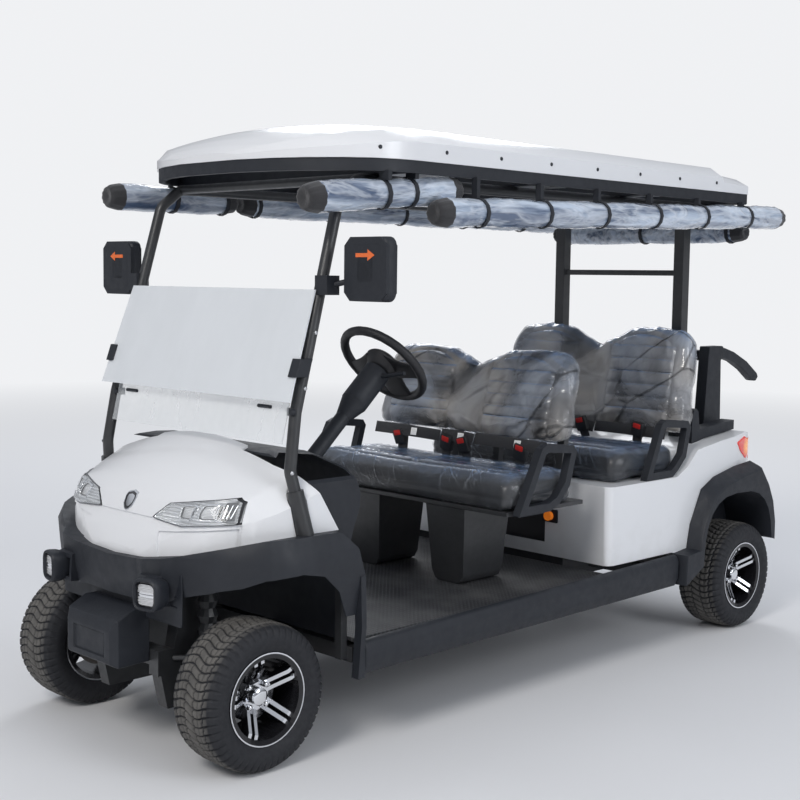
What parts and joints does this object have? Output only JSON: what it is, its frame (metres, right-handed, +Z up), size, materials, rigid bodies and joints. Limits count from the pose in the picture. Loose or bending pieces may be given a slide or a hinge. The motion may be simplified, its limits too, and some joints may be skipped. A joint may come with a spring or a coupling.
{
  "type": "four-seat electric golf cart",
  "caption": "Open golf cart with two bench seats, a roof on posts, a folded windshield, rolled side curtains, alloy wheels and a rear bag rack.",
  "frame": {"origin": "on the ground under the middle of the cart", "axes": "+X to the vehicle's left, +Y to its rear, +Z up; the front faces -Y"},
  "size_m": [1.522, 3.368, 2.034],
  "materials": {
    "frame_black": "satin powder coat",
    "body_white": "gloss",
    "moulded_black": "fine grained",
    "tyre": "matte",
    "rim_chrome": "polished with black pockets",
    "lamp_clear": "clear lens over bright reflectors",
    "lamp_red": "red lens with an orange middle",
    "pane": "clear acrylic",
    "pane_film": "clear acrylic under a pale protective film",
    "curtain_film": "rolled clear film",
    "roof_white": "gloss",
    "seat_black": "black under clear film",
    "floor_black": "ribbed mat",
    "axle_metal": "black painted castings",
    "buckle": "black with a red button",
    "battery": "matte"
  },
  "bodies": {
    "chassis": {"chassis_frame": "frame_black", "front_suspension": "frame_black", "rear_springs": "frame_black", "rear_axle": "axle_metal", "floor_pan": "floor_black", "sills": "moulded_black", "front_moulding": "moulded_black", "nose_panel": "body_white", "front_lamps": "lamp_clear", "lower_bumper": "moulded_black", "windshield_posts": "frame_black", "windshield_upper": "pane_film", "windshield_lower": "pane", "windshield_clips": "moulded_black", "roof_shell": "roof_white", "roof_rails": "moulded_black", "rear_roof_posts": "frame_black", "curtain_rolls": "curtain_film", "mirrors": "moulded_black", "cowl": "moulded_black", "steering_column": "moulded_black", "pedals": "moulded_black", "front_seat_frame": "frame_black", "front_seat_cushion": "seat_black", "front_seat_backs": "seat_black", "rear_seat_cushion": "seat_black", "rear_seat_backs": "seat_black", "armrests": "moulded_black", "seat_belts": "buckle", "rear_body": "body_white", "rear_lamps": "lamp_red", "rear_flares": "moulded_black", "bag_well": "moulded_black", "bag_rack": "moulded_black", "battery_pack": "battery"},
    "knuckle_left": {"knuckle_left": "axle_metal"},
    "knuckle_right": {"knuckle_right": "axle_metal"},
    "tie_rod": {"tie_rod": "frame_black"},
    "steering_wheel": {"steering_wheel": "moulded_black"},
    "wheel_front_left": {"rim_front_left": "rim_chrome", "tyre_front_left": "tyre"},
    "wheel_front_right": {"rim_front_right": "rim_chrome", "tyre_front_right": "tyre"},
    "wheel_rear_left": {"rim_rear_left": "rim_chrome", "tyre_rear_left": "tyre"},
    "wheel_rear_right": {"rim_rear_right": "rim_chrome", "tyre_rear_right": "tyre"}
  },
  "joints": [
    {"name": "steer_left", "type": "hinge", "parent": "chassis", "child": "knuckle_left", "pos_m": [0.34, -1.402, 0.2295], "axis": [0, 0, 1], "range_deg": [-28, 28]},
    {"name": "steer_right", "type": "hinge", "parent": "chassis", "child": "knuckle_right", "pos_m": [-0.34, -1.402, 0.2295], "axis": [0, 0, 1], "range_deg": [-28, 28]},
    {"name": "tie_rod_slide", "type": "slide", "parent": "chassis", "child": "tie_rod", "axis": [1, 0, 0], "range_m": [-0.05, 0.05]},
    {"name": "steering_wheel_turn", "type": "hinge", "parent": "chassis", "child": "steering_wheel", "pos_m": [0.25, -0.645, 1.2], "axis": [0, 0.7349, 0.6782], "range_deg": [-281, 281]},
    {"name": "roll_front_left", "type": "hinge", "parent": "knuckle_left", "child": "wheel_front_left", "pos_m": [0.4555, -1.402, 0.2295], "axis": [1, 0, 0], "continuous": true},
    {"name": "roll_front_right", "type": "hinge", "parent": "knuckle_right", "child": "wheel_front_right", "pos_m": [-0.4555, -1.402, 0.2295], "axis": [1, 0, 0], "continuous": true},
    {"name": "roll_rear_left", "type": "hinge", "parent": "chassis", "child": "wheel_rear_left", "pos_m": [0.5245, 1.201, 0.2295], "axis": [1, 0, 0], "continuous": true},
    {"name": "roll_rear_right", "type": "hinge", "parent": "chassis", "child": "wheel_rear_right", "pos_m": [-0.5245, 1.201, 0.2295], "axis": [1, 0, 0], "continuous": true}
  ],
  "couplings": [
    {"joint": "steer_right", "follows": "steer_left", "ratio": 1},
    {"joint": "tie_rod_slide", "follows": "steer_left", "m_per_rad": -0.101},
    {"joint": "steering_wheel_turn", "follows": "steer_left", "ratio": 10}
  ]
}
